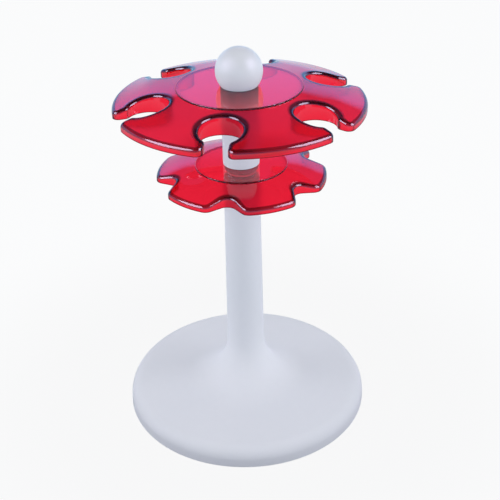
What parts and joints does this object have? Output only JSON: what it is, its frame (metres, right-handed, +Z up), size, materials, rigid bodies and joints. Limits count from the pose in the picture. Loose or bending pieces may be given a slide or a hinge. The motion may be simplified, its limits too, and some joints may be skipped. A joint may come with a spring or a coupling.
{
  "type": "pipette carousel stand",
  "caption": "Weighted round stand whose column carries a turning carousel of two clear notched plates under a ball knob, for hanging pipettes upright.",
  "frame": {"origin": "centre of the resting plane, under the feet", "axes": "+Z up along the column; one notch of each plate faces -Y"},
  "size_m": [0.2292, 0.2292, 0.3523],
  "materials": {
    "white_shell": "satin moulded",
    "white_tube": "satin moulded",
    "white_knob": "smooth satin",
    "red_clear": "clear polished, fine matt underside of the ring",
    "dark_plastic": "fine grained",
    "rubber": "matt",
    "cast_iron": "as cast, oiled",
    "steel": "zinc plated",
    "bearing_steel": "ground and polished",
    "aluminium": "turned",
    "bronze": "sintered",
    "brass": "turned",
    "nylon": "moulded"
  },
  "bodies": {
    "stand": {"pedestal": "white_shell", "bottom_plate": "dark_plastic", "bottom_screws": "steel", "ballast_disc": "cast_iron", "spindle": "steel", "spindle_washer": "steel", "lock_washer": "steel", "spindle_nut": "steel", "column_plug": "aluminium", "lower_race": "bearing_steel", "retaining_washer": "steel", "retaining_ring": "steel", "rubber_foot_1": "rubber", "rubber_foot_2": "rubber", "rubber_foot_3": "rubber", "rubber_foot_4": "rubber"},
    "ball_cage": {"bearing_cage": "nylon", "bearing_balls": "bearing_steel"},
    "carousel": {"upper_race": "bearing_steel", "hub_sleeve": "aluminium", "lower_bush": "bronze", "upper_bush": "bronze", "lower_plate": "red_clear", "spacer_tube": "white_tube", "upper_plate": "red_clear", "knob_insert": "brass", "ball_knob": "white_knob"}
  },
  "joints": [
    {"name": "carousel_spin", "type": "hinge", "parent": "stand", "child": "carousel", "pos_m": [0, 0, 0.28], "axis": [0, 0, 1], "continuous": true},
    {"name": "cage_spin", "type": "hinge", "parent": "stand", "child": "ball_cage", "pos_m": [0, 0, 0.2395], "axis": [0, 0, 1], "continuous": true}
  ],
  "couplings": [
    {"joint": "cage_spin", "follows": "carousel_spin", "ratio": 0.5}
  ]
}
